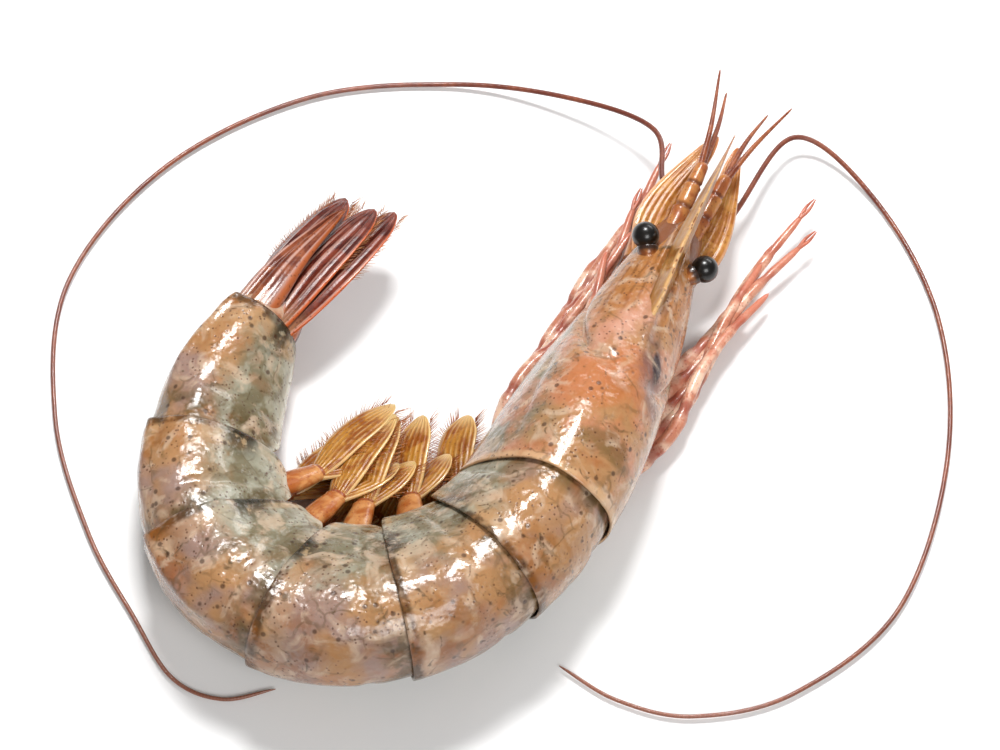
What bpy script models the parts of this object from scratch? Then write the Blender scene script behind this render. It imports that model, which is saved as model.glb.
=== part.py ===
"""A raw prawn with its head on, lying curled on its right side.

Metres, +Z up, the surface that it lies on is z = 0. The body is one skin wrapped round a curved spine that
runs from the eyes to the tail; legs, swimmerets, tail fan and feelers grow out of it, all as one solid.
"""

import math

import bmesh
import bpy
from mathutils import Vector

UP = Vector((0, 0, 1))

# The run of the body from the orbits to the tip of the tail: length of each part, and the degrees that it
# turns from the part before it. The curl is to the right, seen from above.
RUN = (
    ("carapace", 0.0345, 0),
    ("somite_1", 0.0110, 11),
    ("somite_2", 0.0120, 24),
    ("somite_3", 0.0135, 33),
    ("somite_4", 0.0130, 44),
    ("somite_5", 0.0120, 39),
    ("somite_6", 0.0180, 24),
    ("telson", 0.0200, 17),
)
HEAD_HEADING = -115  # degrees from +X, from the orbits towards the tail
ORBITS = Vector((0.01997, 0.01166, 0))  # where the orbits lie, so that the whole is centred on the origin
STEP = 0.00025  # between the points at which the spine is worked out

# Distance behind the orbits, then half the body's width, and its back and belly above and below the spine
SECTIONS = (
    (-0.0095, 0.0012, 0.0010, 0.0014),
    (-0.0070, 0.0026, 0.0024, 0.0034),
    (0.0000, 0.0045, 0.0048, 0.0060),
    (0.0090, 0.0065, 0.0073, 0.0082),
    (0.0200, 0.0081, 0.0094, 0.0097),
    (0.0300, 0.0086, 0.0103, 0.0101),
    (0.0400, 0.0082, 0.0102, 0.0108),
    (0.0515, 0.0080, 0.0101, 0.0116),
    (0.0642, 0.0078, 0.0099, 0.0116),
    (0.0775, 0.0073, 0.0094, 0.0109),
    (0.0900, 0.0066, 0.0086, 0.0097),
    (0.1040, 0.0056, 0.0073, 0.0074),
    (0.1140, 0.0043, 0.0051, 0.0048),
    (0.1170, 0.0029, 0.0031, 0.0027),
)
# Distance behind the orbits, and the degrees by which the back is rolled up from lying flat on its side
ROLL = ((-0.02, 76), (0.008, 70), (0.034, 51), (0.055, 37), (0.078, 31), (0.098, 40), (0.120, 60))
PRESSED = 0.0010  # how far the underside is pressed flat by the weight of the prawn
HEAD_HEIGHT = 0.0084  # of the spine at the eyes, which the folded legs hold up
TAIL_HEIGHT = 0.0072  # of the spine at the root of the tail fan
AROUND = 24  # sides of the body's skin
PLATE_STEP = 0.06  # share of its size by which each plate stands over the front of the next
HOLLOW = 0.0016  # depth of the groove between the two rows of side flaps

EYE_RADIUS = 0.0017
ROSTRUM_TIP = -0.0180  # in front of the orbits
ROSTRUM_ROOT = 0.0120
TEETH_ABOVE = 7
TEETH_BELOW = 3
LEG_PAIRS = 5
LEG_TAPER = (0.0011, 0.0010, 0.0008, 0.0006, 0.0003)
LIMB_FLOOR = 0.0003  # no limb comes nearer than this to the floor
SHELL_COLOUR = (0.45, 0.29, 0.18)
FEELER_COLOUR = (0.34, 0.17, 0.13)
SWIMMERETS = ((0.85, 62), (1.10, 38), (1.20, 14), (1.25, -16), (1.25, -42))  # size and swing of each pair
# The fan's two blades on each side: how far it spreads, how far it reaches past the telson, how far back
FAN_BLADES = (("inner", 0.0027, 0.0008, 0.0002), ("outer", 0.0047, 0.0020, -0.0010))
FEELER_RADIUS = 0.00036
FEELER_TIP_RADIUS = 0.00024
CLEARANCE = 0.0004  # between a feeler and the stalk that it grows from
# The long feelers' ways, measured from the orbits
LEFT_ROUTE = (
    (-0.0005, 0.0225, 0.0060),
    (-0.0110, 0.0290, 0.0030),
    (-0.0260, 0.0325, 0.0008),
    (-0.0450, 0.0305, 0),
    (-0.0630, 0.0200, 0),
    (-0.0745, 0.0030, 0),
    (-0.0750, -0.0160, 0),
    (-0.0700, -0.0320, 0),
    (-0.0640, -0.0430, 0),
    (-0.0590, -0.0510, 0),
    (-0.0530, -0.0538, 0),
    (-0.0465, -0.0525, 0),
)
RIGHT_ROUTE = (
    (0.0180, 0.0230, 0.0030),
    (0.0280, 0.0150, 0.0008),
    (0.0350, -0.0020, 0),
    (0.0350, -0.0220, 0),
    (0.0280, -0.0420, 0),
    (0.0150, -0.0530, 0),
    (0.0030, -0.0560, 0),
    (-0.0060, -0.0540, 0),
    (-0.0130, -0.0495, 0),
)


def between(table, at):
    """The values of a table of rows (place, value, ...) at a place, on a smooth curve through the rows."""
    rows = [Vector(row[1:]) if len(row) > 2 else row[1] for row in table]
    places = [row[0] for row in table]
    if at <= places[0]:
        return rows[0]
    if at >= places[-1]:
        return rows[-1]
    n = max(i for i, place in enumerate(places) if place <= at)
    span = places[n + 1] - places[n]

    def slope(i):
        before, after = max(i - 1, 0), min(i + 1, len(rows) - 1)
        return (rows[after] - rows[before]) * (span / (places[after] - places[before]))

    t = (at - places[n]) / span
    return (
        rows[n] * (2 * t**3 - 3 * t**2 + 1)
        + slope(n) * (t**3 - 2 * t**2 + t)
        + rows[n + 1] * (3 * t**2 - 2 * t**3)
        + slope(n + 1) * (t**3 - t**2)
    )


def starts():
    """Where each part of the run starts, and where the last one ends."""
    places = [0.0]
    for _, length, _ in RUN:
        places.append(places[-1] + length)
    return places


STARTS = starts()


def heading(at):
    """The spine's direction in degrees: steady along the carapace, then turning from plate to plate."""
    turned, place = HEAD_HEADING, STARTS[1] - 0.006
    for n, (_, length, turn) in enumerate(RUN[1:], start=1):
        middle = STARTS[n] + length / 2
        if at < middle:
            return turned - turn * max(0.0, (at - place) / (middle - place))
        turned, place = turned - turn, middle
    return turned


def spine_points():
    """Points on the floor under the spine, STEP apart, from the orbits to the tip of the tail."""
    points = [ORBITS.copy()]
    for n in range(int(STARTS[-1] / STEP) + 40):
        angle = math.radians(heading((n + 0.5) * STEP))
        points.append(points[-1] + STEP * Vector((math.cos(angle), math.sin(angle), 0)))
    return points


SPINE = spine_points()


def tailward(at):
    angle = math.radians(heading(at))
    return Vector((math.cos(angle), math.sin(angle), 0))


def outward(at):
    """Away from the middle of the curl, in the floor's plane."""
    return UP.cross(tailward(at))


def under_spine(at):
    if at <= 0:
        return SPINE[0] + tailward(0) * at
    step = min(at / STEP, len(SPINE) - 1.001)
    n = int(step)
    return SPINE[n].lerp(SPINE[n + 1], step - n)


def roll(at):
    return math.radians(between(ROLL, at))


def spine_height(at):
    """High enough that the section just rests on the floor, easing to set heights at head and tail."""
    half_width, back, belly = between(SECTIONS, at)
    angle = roll(at)
    ring = [outline(n / AROUND, half_width, back, belly) for n in range(AROUND)]
    lowest = min(left * math.cos(angle) + rise * math.sin(angle) for left, rise in ring)
    resting = -lowest - PRESSED
    to_head = min(1.0, max(0.0, (0.022 - at) / 0.022))
    to_tail = min(1.0, max(0.0, (at - 0.096) / 0.018))
    ease_head = to_head * to_head * (3 - 2 * to_head)
    ease_tail = to_tail * to_tail * (3 - 2 * to_tail)
    resting += (HEAD_HEIGHT - resting) * ease_head
    return resting + (TAIL_HEIGHT - resting) * ease_tail


def on_body(at, left, back):
    """The point this far to the prawn's left of its spine, and this far towards its back."""
    angle = roll(at)
    out, up = outward(at), UP
    to_left = up * math.cos(angle) - out * math.sin(angle)
    to_back = out * math.cos(angle) + up * math.sin(angle)
    return under_spine(at) + up * spine_height(at) + to_left * left + to_back * back


def on_floor(at, out, height):
    """The point this far outward of the spine and this high above the floor."""
    return under_spine(at) + outward(at) * out + UP * height


def smooth_path(points, count):
    """Points on a smooth curve through these, evenly spread from one to the next."""
    table = [(n, *point) for n, point in enumerate(points)]
    return [Vector(between(table, (len(points) - 1) * n / (count - 1))) for n in range(count)]


def signed_power(value, power):
    return math.copysign(abs(value) ** power, value)


def outline(around, half_width, back, belly):
    """A point on the body's section: round over the back, steep at the flanks, grooved along the belly."""
    angle = 2 * math.pi * around
    across, rise = math.cos(angle), math.sin(angle)
    if rise >= 0:
        return half_width * signed_power(across, 0.92), back * rise**0.92
    left = half_width * signed_power(across, 0.62)
    groove = HOLLOW * min(1.0, belly / 0.008) * (1 - (left / half_width) ** 2) ** 2
    return left, -belly * abs(rise) ** 0.72 + groove


def plate(at):
    """The share of its full size that the body has here, and how far the side flap reaches down."""
    for start, end in zip(STARTS[1:7], STARTS[2:8]):
        if start <= at < end:
            along = (at - start) / (end - start)
            return 1 - PLATE_STEP * (1 - along) ** 1.5, 0.82 + 0.18 * math.sin(math.pi * along) ** 0.7
    return 1.0, 1.0


def stations():
    """Places along the spine that have a ring of the body's skin, four to each plate."""
    front = [-0.0095, -0.0085, -0.0070, -0.0035, 0.0, 0.004, 0.0085]
    chest = [0.0135, 0.0185, 0.0235, 0.0280, 0.0318, 0.0343]
    plates = [
        start + (end - start) * share
        for start, end in zip(STARTS[1:7], STARTS[2:8])
        for share in (0.02, 0.3, 0.68, 0.98)
    ]
    return [*front, *chest, *plates, STARTS[7] + 0.0012, STARTS[7] + 0.0025]


def new_object(name, bm):
    bmesh.ops.remove_doubles(bm, verts=bm.verts, dist=1e-7)
    bmesh.ops.recalc_face_normals(bm, faces=bm.faces)
    mesh = bpy.data.meshes.new(name)
    bm.to_mesh(mesh)
    bm.free()
    obj = bpy.data.objects.new(name, mesh)
    bpy.context.scene.collection.objects.link(obj)
    return obj


def wrapped(name, columns, rows, place):
    """A closed skin: a grid whose columns run along the piece and whose rows go once round it."""
    bm = bmesh.new()
    bmesh.ops.create_grid(bm, x_segments=columns, y_segments=rows, size=1)
    for vertex in bm.verts:
        column = round((vertex.co.x + 1) / 2 * columns)
        row = round((vertex.co.y + 1) / 2 * rows) % rows
        vertex.co = place(column, row / rows)
    return new_object(name, bm)


def limb(name, points, widths, thicknesses, flat=None, count=8, sides=6):
    """A tapering limb along a smooth path, pointed at both ends. flat is the way its broad face looks."""
    path = smooth_path(points, count)
    wide = [(n, value) for n, value in enumerate(widths)]
    thick = [(n, value) for n, value in enumerate(thicknesses)]

    def place(column, around):
        n = min(max(column - 1, 0), count - 1)
        along = (path[min(n + 1, count - 1)] - path[max(n - 1, 0)]).normalized()
        face = flat or UP
        side = along.cross(face).normalized()
        face = side.cross(along)
        share = n / (count - 1)
        width = between(wide, share * (len(widths) - 1))
        thickness = between(thick, share * (len(thicknesses) - 1))
        sag = LIMB_FLOOR + math.hypot(width * side.z, thickness * face.z) - path[n].z
        middle = path[n] + UP * max(sag, 0)
        if column in (0, count + 1):
            return middle
        angle = 2 * math.pi * around
        return middle + side * width * math.cos(angle) + face * thickness * math.sin(angle)

    return wrapped(name, count + 1, sides, place)


def body():
    """Carapace and abdomen: one skin, pressed flat where it lies on the floor."""
    places = stations()

    def place(column, around):
        last = len(places) - 1
        if column in (0, last + 2):
            return on_body(places[0 if column == 0 else last], 0, 0)
        at = places[column - 1]
        half_width, back, belly = between(SECTIONS, at)
        size, flap = plate(at)
        left, rise = outline(around, half_width * size, back * size, belly * size * flap)
        point = on_body(at, left, rise)
        point.z = max(point.z, 0.0)
        return point

    return wrapped("body", len(places) + 1, AROUND, place)


def rostrum():
    """The toothed spike over the eyes, a thin upright blade that runs back along the carapace."""
    ridge = ((ROSTRUM_TIP, 0.0072), (-0.008, 0.0062), (0.0, 0.0062), (0.006, 0.0068), (ROSTRUM_ROOT, 0.0066))
    line = [on_body(at, 0, back) for at, back in reversed(ridge)]
    to_left = on_body(0, 1, 0) - on_body(0, 0, 0)
    heights = (0.0012, 0.0017, 0.0019, 0.0014, 0.0004)
    halves = (0.0008, 0.0009, 0.0008, 0.0006, 0.0003)
    pieces = [limb("rostrum", line, heights, halves, flat=to_left, count=10)]
    for n in range(TEETH_ABOVE):
        at = 0.0095 - 0.0031 * n
        top = between(ridge, at) + 0.0008
        line = [
            on_body(at + 0.0012, 0, top - 0.0004),
            on_body(at, 0, top + 0.0006),
            on_body(at - 0.0016, 0, top + 0.0014),
        ]
        heights, halves = (0.0006, 0.0005, 0.00015), (0.0005, 0.0004, 0.00015)
        pieces.append(limb(f"tooth_{n}", line, heights, halves, flat=to_left, count=3, sides=4))
    for n in range(TEETH_BELOW):
        at = -0.0075 - 0.0028 * n
        low = between(ridge, at) - 0.0008
        line = [on_body(at + 0.0010, 0, low + 0.0003), on_body(at - 0.0014, 0, low - 0.0009)]
        heights, halves = (0.0006, 0.00015), (0.0004, 0.00015)
        pieces.append(limb(f"tooth_under_{n}", line, heights, halves, flat=to_left, count=2, sides=4))
    return pieces


def eye(side):
    """A black ball on a short stalk."""
    stalk = [on_body(0.003, side * 0.0016, 0.0032), on_body(-0.0004, side * 0.0034, 0.0036)]
    bm = bmesh.new()
    bmesh.ops.create_uvsphere(bm, u_segments=12, v_segments=8, radius=EYE_RADIUS)
    bmesh.ops.translate(bm, vec=on_body(-0.0012, side * 0.0042, 0.0040), verts=bm.verts)
    return [
        new_object(f"eye_ball_{side}", bm),
        limb(f"eye_stalk_{side}", stalk, (0.0010, 0.0013), (0.0010, 0.0013), count=3, sides=8),
    ]


def head_limbs(side):
    """Antennal scale, the stalks of both feelers, the short feelers, and the jaw feet under the mouth."""
    to_back = on_body(0, 0, 1) - on_body(0, 0, 0)
    name = "left" if side > 0 else "right"

    def head_limb(word, knots, widths, thicknesses, **settings):
        line = [on_body(at, side * left, back) for at, left, back in knots]
        return limb(f"{word}_{name}", line, widths, thicknesses, **settings)

    scale = ((-0.001, 0.0030, -0.0006), (-0.009, 0.0035, 0.0000), (-0.0200, 0.0014, 0.0016))
    upper_stalk = ((-0.003, 0.0012, 0.0012), (-0.010, 0.0015, 0.0022), (-0.0150, 0.0017, 0.0028))
    upper_whip = ((-0.014, 0.0018, 0.0029), (-0.020, 0.0030, 0.0034), (-0.028, 0.0052, 0.0030))
    lower_whip = ((-0.014, 0.0016, 0.0023), (-0.021, 0.0020, 0.0016), (-0.027, 0.0030, 0.0004))
    lower_stalk = ((-0.001, 0.0032, -0.0030), (-0.007, 0.0042, -0.0030), (-0.0115, 0.0048, -0.0028))
    jaw_foot = ((0.006, 0.0026, -0.0072), (-0.004, 0.0034, -0.0066), (-0.015, 0.0030, -0.0042))
    leaf_widths, leaf_halves = (0.0015, 0.0026, 0.0021, 0.0006), (0.0005, 0.0005, 0.0003)
    upper_widths, upper_halves = (0.0012, 0.0011, 0.0008), (0.0012, 0.0010, 0.0007)
    lower_widths, lower_halves = (0.0016, 0.0014, 0.0009), (0.0016, 0.0013, 0.0009)
    foot_widths, foot_halves = (0.0012, 0.0012, 0.0007, 0.0003), (0.0012, 0.0010, 0.0006, 0.0003)
    whip = (0.0005, 0.0004, 0.0002)
    return [
        head_limb("scale", scale, leaf_widths, leaf_halves, flat=to_back, sides=8),
        head_limb("upper_stalk", upper_stalk, upper_widths, upper_halves, count=5, sides=8),
        head_limb("upper_whip", upper_whip, whip, whip, count=7, sides=5),
        head_limb("lower_whip", lower_whip, whip, whip, count=7, sides=5),
        head_limb("lower_stalk", lower_stalk, lower_widths, lower_halves, count=5, sides=8),
        head_limb("jaw_foot", jaw_foot, foot_widths, foot_halves),
    ]


def left_leg(pair):
    """A walking leg folded forward along the upper flank."""
    root = 0.0080 + 0.0040 * pair
    splay = (0.0004, -0.0003, 0.0006, 0.0, 0.0008)[pair]
    knots = (
        (root + 0.0010, 0.0024, -0.0068),
        (root + 0.0020, 0.0054, -0.0098),
        (root - 0.0060, 0.0066 + splay, -0.0096 + 0.0004 * pair),
        (root - 0.0160, 0.0060 - splay, -0.0080 + 0.0006 * pair + splay),
        (root - 0.0255, 0.0052 + 2 * splay, -0.0056 + 0.0003 * pair - splay),
    )
    points = [on_body(*knot) for knot in knots]
    return limb(f"leg_left_{pair + 1}", points, LEG_TAPER, LEG_TAPER, count=11)


def right_leg(pair):
    """A walking leg that lies on the floor along the other side of the carapace, its tip turned out."""
    root = 0.0080 + 0.0040 * pair
    splay = (0.0030, 0.0046, 0.0010, 0.0034, 0.0018)[pair]
    knots = (
        (root + 0.0010, -0.0020, 0.0060),
        (root + 0.0020, 0.0050, 0.0030),
        (root - 0.0060, 0.0084 + 0.0002 * pair, 0.0022 + 0.0002 * pair),
        (root - 0.0160, 0.0088 + 0.3 * splay, 0.0026 + 0.0004 * pair),
        (root - 0.0260, 0.0090 + splay, 0.0036 - 0.0003 * pair),
    )
    points = [on_floor(*knot) for knot in knots]
    return limb(f"leg_right_{pair + 1}", points, LEG_TAPER, LEG_TAPER, count=11)


def swimmeret(number, side):
    """A flat stem under one plate with a long and a short blade, hanging loosely towards the head."""
    middle = (STARTS[number] + STARTS[number + 1]) / 2
    belly = between(SECTIONS, middle).z
    size, swing = SWIMMERETS[number - 1]
    forward, inward = -tailward(middle), -outward(middle)
    angle = math.radians(swing + (0 if side > 0 else 8))
    hang = inward * math.cos(angle) + forward * math.sin(angle)
    across = UP.cross(hang)
    root = on_body(middle, side * 0.0034, -0.72 * belly)
    knee = on_body(middle - 0.0008, side * 0.0036, -belly) + hang * 0.0042 * size - UP * 0.0006
    near = knee - hang * 0.001
    stem = [root, root.lerp(knee, 0.5), knee]
    long_blade = [near, knee + hang * 0.0045 * size + across * 0.0008, knee + hang * 0.0100 * size]
    short_blade = [
        near,
        knee + hang * 0.0026 * size - across * 0.0022,
        knee + hang * 0.0056 * size - across * 0.0040,
    ]
    face = (UP + hang * 0.2 + across * 0.5).normalized()
    name = f"{number}_{'left' if side > 0 else 'right'}"
    broad, narrow = (0.0014, 0.0022, 0.0019, 0.0005), (0.0012, 0.0018, 0.0005)
    thick = (0.0007, 0.0006, 0.0003)
    return [
        limb(f"stem_{name}", stem, (0.0017, 0.0019, 0.0013), (0.0012, 0.0011, 0.0008), flat=face, count=4),
        limb(f"long_blade_{name}", long_blade, broad, thick, flat=face, count=6),
        limb(f"short_blade_{name}", short_blade, narrow, thick, flat=face, count=5),
    ]


def tail_fan():
    """The pointed telson over two pairs of rounded blades, folded together behind the last plate."""
    root, tip = STARTS[7], STARTS[8]
    to_back = on_body(tip, 0, 1) - on_body(tip, 0, 0)
    telson = [
        on_body(root - 0.002, 0, 0.0022),
        on_body(root + 0.008, 0, 0.0022),
        on_body(tip - 0.001, 0, 0.0012),
    ]
    widths, thicknesses = (0.0032, 0.0030, 0.0018, 0.0003), (0.0024, 0.0018, 0.0010, 0.0003)
    pieces = [limb("telson", telson, widths, thicknesses, flat=to_back, sides=8)]
    core = [on_body(root - 0.002, 0, 0.0), on_body(root + 0.006, 0, 0.0004)]
    widths, thicknesses = (0.0034, 0.0032, 0.0012), (0.0028, 0.0022, 0.0005)
    pieces.append(limb("fan_root", core, widths, thicknesses, flat=to_back, count=5, sides=8))
    for side in (1, -1):
        name = "left" if side > 0 else "right"
        knuckle = [
            on_body(root - 0.002, side * 0.0020, -0.0020),
            on_body(root + 0.0042, side * 0.0030, -0.0014),
        ]
        widths, thicknesses = (0.0019, 0.0018, 0.0010), (0.0022, 0.0019, 0.0007)
        pieces.append(limb(f"knuckle_{name}", knuckle, widths, thicknesses, flat=to_back, count=5, sides=8))
        for blade, spread, length, back in FAN_BLADES:
            line = [
                on_body(root - 0.0010, side * 0.0022, back - 0.0005),
                on_body(root + 0.0095, side * spread * 0.85, back),
                on_body(tip + length, side * spread, back - 0.0002),
            ]
            widths = (0.0016, 0.0029, 0.0035, 0.0031, 0.0006)
            thicknesses = (0.0010, 0.0008, 0.0006, 0.0005, 0.0003)
            pieces.append(limb(f"{blade}_{name}", line, widths, thicknesses, flat=to_back, count=9, sides=8))
    return pieces


def feeler(side, route):
    """A long whip feeler, from just in front of its stalk out across the floor."""
    start = on_body(-0.0128 - CLEARANCE, side * 0.0050, -0.0028)
    lying = FEELER_RADIUS + LIMB_FLOOR
    points = [start]
    for x, y, z in route:
        points.append(ORBITS + Vector((x, y, max(z, lying))))
    name = "feeler_left" if side > 0 else "feeler_right"
    taper = (FEELER_RADIUS, FEELER_TIP_RADIUS)
    return limb(name, points, taper, taper, count=72, sides=5)


def fuse(base, pieces):
    """Joins the pieces to the base in one Boolean union and removes them."""
    collection = bpy.data.collections.new("joined")
    bpy.context.scene.collection.children.link(collection)
    for piece in pieces:
        bpy.context.scene.collection.objects.unlink(piece)
        collection.objects.link(piece)
    union = base.modifiers.new("union", "BOOLEAN")
    union.operation = "UNION"
    union.operand_type = "COLLECTION"
    union.collection = collection
    union.solver = "MANIFOLD"
    bpy.context.view_layer.objects.active = base
    bpy.ops.object.modifier_apply(modifier=union.name)
    for piece in pieces:
        bpy.data.objects.remove(piece)
    bpy.data.collections.remove(collection)
    return base


def material(name, colour, roughness):
    made = bpy.data.materials.new(name)
    made.use_nodes = True
    shader = made.node_tree.nodes["Principled BSDF"]
    shader.inputs["Base Color"].default_value = (*colour, 1)
    shader.inputs["Roughness"].default_value = roughness
    shader.inputs["Metallic"].default_value = 0
    return made


def finished(obj, colour, roughness):
    """Shades a node smooth over its curves and gives it its material."""
    obj.data.shade_smooth()
    obj.data.set_sharp_from_angle(angle=math.radians(40))
    obj.data.materials.clear()
    obj.data.materials.append(material(obj.name, colour, roughness))


def main():
    for obj in list(bpy.data.objects):
        bpy.data.objects.remove(obj)
    pieces = [*rostrum(), *tail_fan()]
    for side in (1, -1):
        pieces += eye(side)
        pieces += head_limbs(side)
        for number in range(1, 6):
            pieces += swimmeret(number, side)
    for pair in range(LEG_PAIRS):
        pieces += [left_leg(pair), right_leg(pair)]
    prawn = fuse(body(), pieces)
    prawn.name = "prawn"
    prawn.data.name = "prawn"
    feelers = [feeler(1, LEFT_ROUTE), feeler(-1, RIGHT_ROUTE)]
    finished(prawn, SHELL_COLOUR, 0.28)
    for whip in feelers:
        finished(whip, FEELER_COLOUR, 0.40)


main()
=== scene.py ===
"""A raw tiger prawn with its head on, lying curled on its side.

Its parts are made in the order in which a prawn is built up: the flesh, the shell plates over it, the
spike and the eyes, the feelers, the legs, the swimmerets and the tail fan. Metres, +Z up.
"""

import math
import random

import bmesh
import bpy
from mathutils import Matrix, Vector, noise


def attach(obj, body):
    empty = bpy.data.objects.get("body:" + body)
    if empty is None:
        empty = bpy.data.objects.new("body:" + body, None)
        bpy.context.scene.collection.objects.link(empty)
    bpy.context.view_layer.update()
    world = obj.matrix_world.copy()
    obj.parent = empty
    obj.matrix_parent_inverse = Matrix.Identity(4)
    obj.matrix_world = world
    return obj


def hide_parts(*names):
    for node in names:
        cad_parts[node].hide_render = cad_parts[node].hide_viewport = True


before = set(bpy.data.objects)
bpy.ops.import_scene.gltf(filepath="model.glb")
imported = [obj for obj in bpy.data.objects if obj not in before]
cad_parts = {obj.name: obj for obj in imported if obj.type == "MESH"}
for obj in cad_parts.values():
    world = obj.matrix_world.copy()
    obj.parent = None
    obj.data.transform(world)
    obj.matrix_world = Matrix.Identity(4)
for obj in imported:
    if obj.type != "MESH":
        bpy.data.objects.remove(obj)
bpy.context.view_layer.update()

# The flesh: one curled body of pale muscle that fills the shell, and shows at the belly between the side
# flaps, in the folds between the plates and round the mouth. Everything else hangs on its line, which
# runs from the eye sockets to the tip of the tail.
UP = Vector((0, 0, 1))
PART_LENGTHS = (0.0345, 0.0110, 0.0120, 0.0135, 0.0130, 0.0120, 0.0180, 0.0200)  # carapace, plates, tail fan
PART_TURNS = (0, 11, 24, 33, 44, 39, 24, 17)  # degrees, from each part to the next
HEAD_HEADING = -115  # degrees from +X, the way from the eyes to the tail
ORBITS = Vector((0.01997, 0.01166, 0))  # the point on the floor under the eye sockets, where the line is 0
STEP = 0.00025
FIRST = -0.0300
STARTS = [sum(PART_LENGTHS[:n]) for n in range(len(PART_LENGTHS) + 1)]
SECTIONS = (  # place on the line, half width, height of the back over the line, depth of the belly under it
    (-0.0095, 0.0012, 0.0010, 0.0014),
    (-0.0070, 0.0026, 0.0024, 0.0034),
    (0.0000, 0.0045, 0.0048, 0.0060),
    (0.0090, 0.0065, 0.0073, 0.0082),
    (0.0200, 0.0081, 0.0094, 0.0097),
    (0.0300, 0.0086, 0.0103, 0.0101),
    (0.0400, 0.0082, 0.0102, 0.0108),
    (0.0515, 0.0080, 0.0101, 0.0116),
    (0.0642, 0.0078, 0.0099, 0.0116),
    (0.0775, 0.0073, 0.0094, 0.0109),
    (0.0900, 0.0066, 0.0086, 0.0097),
    (0.1040, 0.0056, 0.0073, 0.0074),
    (0.1140, 0.0043, 0.0051, 0.0048),
    (0.1170, 0.0029, 0.0031, 0.0027),
)
ROLL = (  # place on the line, degrees by which the back is turned up from lying flat on the side
    (-0.02, 76), (0.008, 70), (0.034, 51), (0.055, 37), (0.078, 31), (0.098, 40), (0.120, 60),
)
FLOOR, MIDDLE, TO_LEFT, TO_BACK, OUTWARD, SECTION = range(6)  # the columns of LINE
PRESSED = 0.0010  # how far its own weight presses the soft body against the floor
HEAD_HEIGHT = 0.0084
TAIL_HEIGHT = 0.0072
FLOOR_GAP = 0.0002


def between(table, at):
    """The values of a table of rows (place, value, ...) at a place, on a smooth curve through the rows."""
    places = [row[0] for row in table]
    at = min(max(at, places[0]), places[-1])
    n = min(max(i for i, place in enumerate(places) if place <= at), len(table) - 2)
    span = places[n + 1] - places[n]
    t = (at - places[n]) / span

    def value(column):
        def slope(i):
            before, after = max(i - 1, 0), min(i + 1, len(table) - 1)
            return (table[after][column] - table[before][column]) * span / (places[after] - places[before])

        return (
            table[n][column] * (2 * t**3 - 3 * t**2 + 1)
            + slope(n) * (t**3 - 2 * t**2 + t)
            + table[n + 1][column] * (3 * t**2 - 2 * t**3)
            + slope(n + 1) * (t**3 - t**2)
        )

    found = [value(column) for column in range(1, len(table[0]))]
    return found if len(found) > 1 else found[0]


def ease(low, high, value):
    """0 at or under low, 1 at or over high, smooth in between."""
    t = min(1.0, max(0.0, (value - low) / (high - low)))
    return t * t * (3 - 2 * t)


def heading(at):
    """The way that the line runs here, in degrees from +X, on a smooth bend from part to part."""
    turned, place = HEAD_HEADING, STARTS[1] - 0.006
    for n in range(1, len(PART_LENGTHS)):
        middle = STARTS[n] + PART_LENGTHS[n] / 2
        if at < middle:
            return turned - PART_TURNS[n] * max(0.0, (at - place) / (middle - place))
        turned, place = turned - PART_TURNS[n], middle
    return turned


def section_point(around, half_width, back, belly):
    """A point on the body's section: round over the back, steep at the flanks, grooved along the belly."""
    across, rise = math.cos(2 * math.pi * around), math.sin(2 * math.pi * around)
    if rise >= 0:
        return half_width * math.copysign(abs(across) ** 0.92, across), back * rise**0.92
    left = half_width * math.copysign(abs(across) ** 0.62, across)
    groove = 0.0016 * min(1.0, belly / 0.008) * (1 - (left / half_width) ** 2) ** 2
    return left, -belly * abs(rise) ** 0.72 + groove


def body_line():
    """For each step: the line on the floor, the line itself, the ways left, back and out, and the section."""
    rows, point = [], ORBITS.copy()
    count = int((STARTS[-1] + 0.010 - FIRST) / STEP)
    for n in range(count):
        at = FIRST + n * STEP
        half_width, back, belly = between(SECTIONS, at)
        angle = math.radians(between(ROLL, at))
        ring = [section_point(k / 24, half_width, back, belly) for k in range(24)]
        height = -min(left * math.cos(angle) + rise * math.sin(angle) for left, rise in ring) - PRESSED
        height += (HEAD_HEIGHT - height) * (1 - ease(0, 0.022, at))
        height += (TAIL_HEIGHT - height) * ease(0.096, 0.114, at)
        way = math.radians(heading(max(at, 0)))
        tailward = Vector((math.cos(way), math.sin(way), 0))
        if at <= 0:
            ground = ORBITS + tailward * at
        else:
            way = math.radians(heading(at - STEP / 2))
            point = point + STEP * Vector((math.cos(way), math.sin(way), 0))
            ground = point
        out = UP.cross(tailward)
        to_left = UP * math.cos(angle) - out * math.sin(angle)
        to_back = out * math.cos(angle) + UP * math.sin(angle)
        section = Vector((half_width, back, belly))
        rows.append((ground.copy(), ground + UP * height, to_left, to_back, out, section))
    return rows


LINE = body_line()


def line_at(at, column):
    """What a column of LINE says at a place between its rows."""
    n = (min(max(at, FIRST), STARTS[-1] + 0.009) - FIRST) / STEP
    return LINE[int(n)][column].lerp(LINE[int(n) + 1][column], n - int(n))


def on_body(at, left, back):
    """The point this far to the prawn's left of its line, and this far towards its back."""
    return line_at(at, MIDDLE) + line_at(at, TO_LEFT) * left + line_at(at, TO_BACK) * back


def on_floor(at, out, height):
    """The point this far outward of the line and this high above the floor."""
    return line_at(at, FLOOR) + line_at(at, OUTWARD) * out + UP * height


def tailward_at(at):
    return line_at(at, OUTWARD).cross(UP)


def on_skin(at, around, size, flap=1.0):
    half_width, back, belly = line_at(at, SECTION)
    left, rise = section_point(around, half_width * size, back * size, belly * size * flap)
    point = on_body(at, left, rise)
    point.z = max(point.z, FLOOR_GAP)
    return point


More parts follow.
